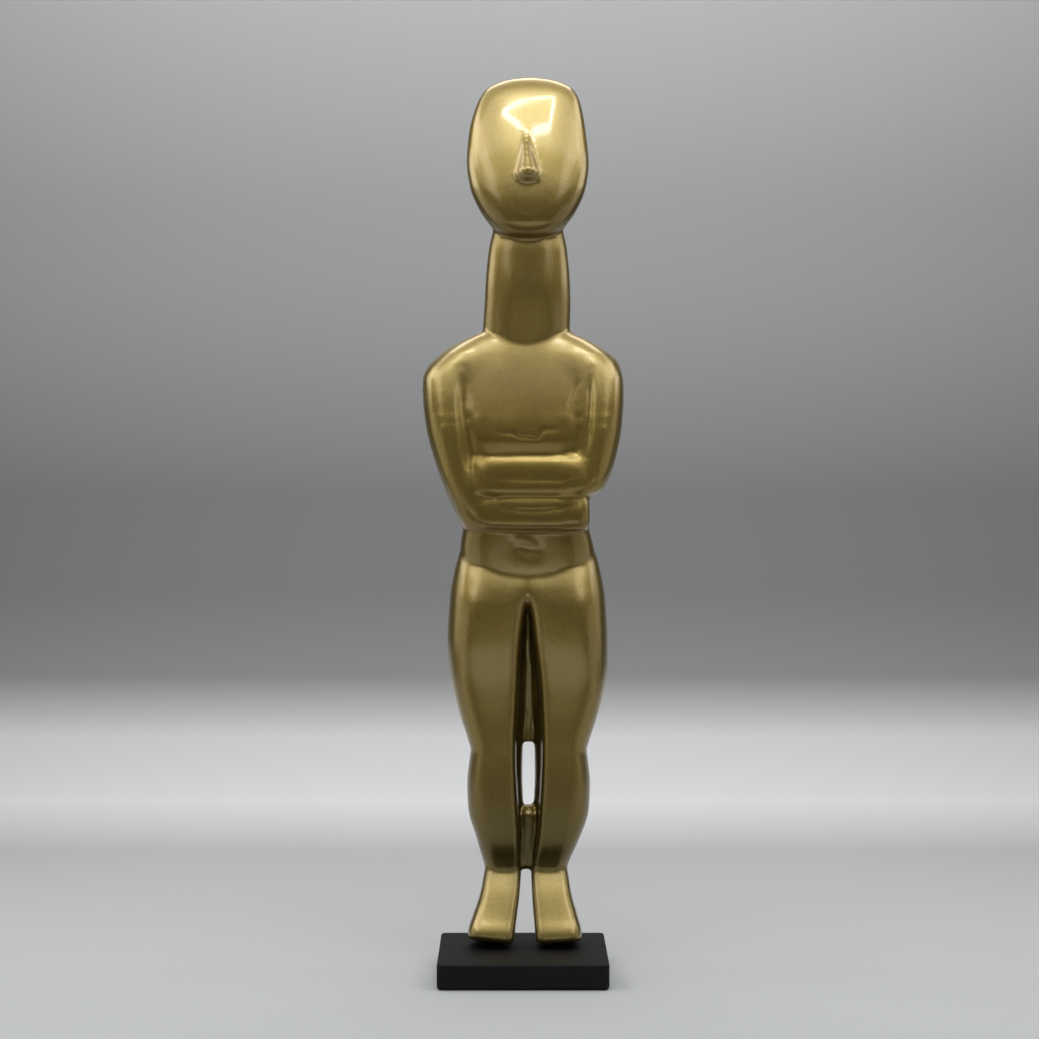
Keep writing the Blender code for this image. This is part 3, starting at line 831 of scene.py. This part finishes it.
sheet = bmesh.new()
left = sheet.verts.new((-SHEET_HALF_WIDTH, SHEET_FRONT, 0))
right = sheet.verts.new((SHEET_HALF_WIDTH, SHEET_FRONT, 0))
edge = drawn_on(sheet, sheet.edges.new((left, right)), (0, SHEET_TURNS_AT - SHEET_FRONT, 0))
turned = bmesh.ops.spin(
    sheet, geom=[edge, *edge.verts], cent=(0, SHEET_TURNS_AT, SHEET_TURN_RADIUS), axis=(1, 0, 0),
    angle=math.radians(90), steps=TURN_STEPS,
)["geom_last"]
edge = next(item for item in turned if isinstance(item, bmesh.types.BMEdge))
drawn_on(sheet, edge, (0, 0, SHEET_TOP - SHEET_TURN_RADIUS))
backdrop = piece_from(sheet, "sheet_with_painted_light")
graded, place = new_finish("graded paper", Roughness=0.7, Specular_IOR_Level=0.2)
across, behind, above = place.by_axis()
along = (behind + above - GREYS_FROM) * (1 / GREYS_OVER)
# The paper's colour carries the painted light and shade, graded along the sheet.
stops = [
    ((place_along - GREYS_FROM) / GREYS_OVER, (*[share * grey for share in PAPER_TINT], 1))
    for place_along, grey in SHEET_PAINTED_LIGHT_GREYS.values()
]
along.node("ShaderNodeValToRGB", {"stops": stops}, {0: along}).into("Base Color")
backdrop.data.materials.append(graded)

# The light comes from five lamp strips in a rough ring, over and in front of the object, which the head
# mirrors. Soft panels hang over it, stand beside it, and light the floor in front and the paper behind. The
# rest of the room is nearly dark, and the colours are shown without a film curve.
STRIP_ENDS = [(-0.122, -0.236), (-0.055, -0.232), (0.120, -0.191), (0.115, -0.305), (0.000, -0.328)]
STRIP_LEVEL = 0.62
STRIP_WIDTH = 0.019
STRIP_POWER_PER_METRE = 1.25
STRIP_COLOUR = (0.80, 0.90, 1.0)
CEILING_LEVEL = 0.66
CEILING_WIDTH = 1.4
CEILINGS = {
    "far front": (-0.93, 0.26, 0.25),
    "front": (-0.61, 0.38, 1.15),
    "over the face": (-0.28, 0.28, 2.6),
    "middle": (-0.04, 0.20, 0.65),
    "back": (0.17, 0.22, 1.4),
}
SIDE_PANELS = {
    "upper back": (0.37, 0.00, 0.50, 0.22, 0.20, 0.34),
    "beside the face": (0.37, 0.08, 0.35, 0.22, 0.14, 0.22),
    "upper front": (0.37, -0.42, 0.50, 0.26, 0.28, 0.34),
    "upper": (0.37, -0.20, 0.50, 0.20, 0.28, 0.12),
    "low": (0.37, -0.16, 0.10, 0.30, 0.25, 0.12),
    "middle": (0.37, 0.05, 0.22, 0.20, 0.30, 0.13),
}
SIDE_SHARES = {-1: 1.15, 1: 0.9}
FACING_DOWN = {
    "floor lamp": (-0.75, 0.12, 1.2, 0.70, 2.0),
    "back panel": (0.45, 1.0, 1.0, 0.3, 3.7),
}
FRONT_EDGE = (-1.15, 0.434, 0.8, 0.02, 0.06)
ROOM_GREY = (0.02, 0.02, 0.021, 1)


def add_lamp(name, place, aim, width, length, power):
    lamp = bpy.data.lights.new(name, "AREA")
    lamp.shape = "RECTANGLE"
    lamp.size = width
    lamp.size_y = length
    lamp.energy = power
    stand = bpy.data.objects.new(name, lamp)
    bpy.context.scene.collection.objects.link(stand)
    stand.location = place
    stand.rotation_euler = (Vector(aim) - Vector(place)).to_track_quat("-Z", "Y").to_euler()
    stand.visible_camera = False
    return stand


for start, end in zip(STRIP_ENDS, STRIP_ENDS[1:] + STRIP_ENDS[:1]):
    start, end = Vector((*start, STRIP_LEVEL)), Vector((*end, STRIP_LEVEL))
    strip = add_lamp(
        "strip", (start + end) / 2, (start + end) / 2 - Vector((0, 0, 1)),
        STRIP_WIDTH, (end - start).length, STRIP_POWER_PER_METRE * (end - start).length,
    )
    strip.data.color = STRIP_COLOUR
    strip.rotation_euler = (0, 0, math.atan2(end.y - start.y, end.x - start.x) - math.pi / 2)
for away, depth, power in CEILINGS.values():
    add_lamp("ceiling", (0, away, CEILING_LEVEL), (0, away, 0), CEILING_WIDTH, depth, power)
for side in (-1, 1):
    for across, away, level, width, height, power in SIDE_PANELS.values():
        stand = add_lamp("side panel", (side * across, away, level), (0, away, level), width, height, power)
        stand.data.energy *= SIDE_SHARES[side]
for name, (away, level, width, length, power) in FACING_DOWN.items():
    add_lamp(name, (0, away, level), (0, away, 0), width, length, power)
away, level, width, length, power = FRONT_EDGE
add_lamp("front edge", (0, away, level), (0, 0, level), width, length, power)

room = bpy.data.worlds.new("room")
room.use_nodes = True
room.node_tree.nodes["Background"].inputs["Color"].default_value = ROOM_GREY
bpy.context.scene.world = room
bpy.context.scene.view_settings.view_transform = "Standard"
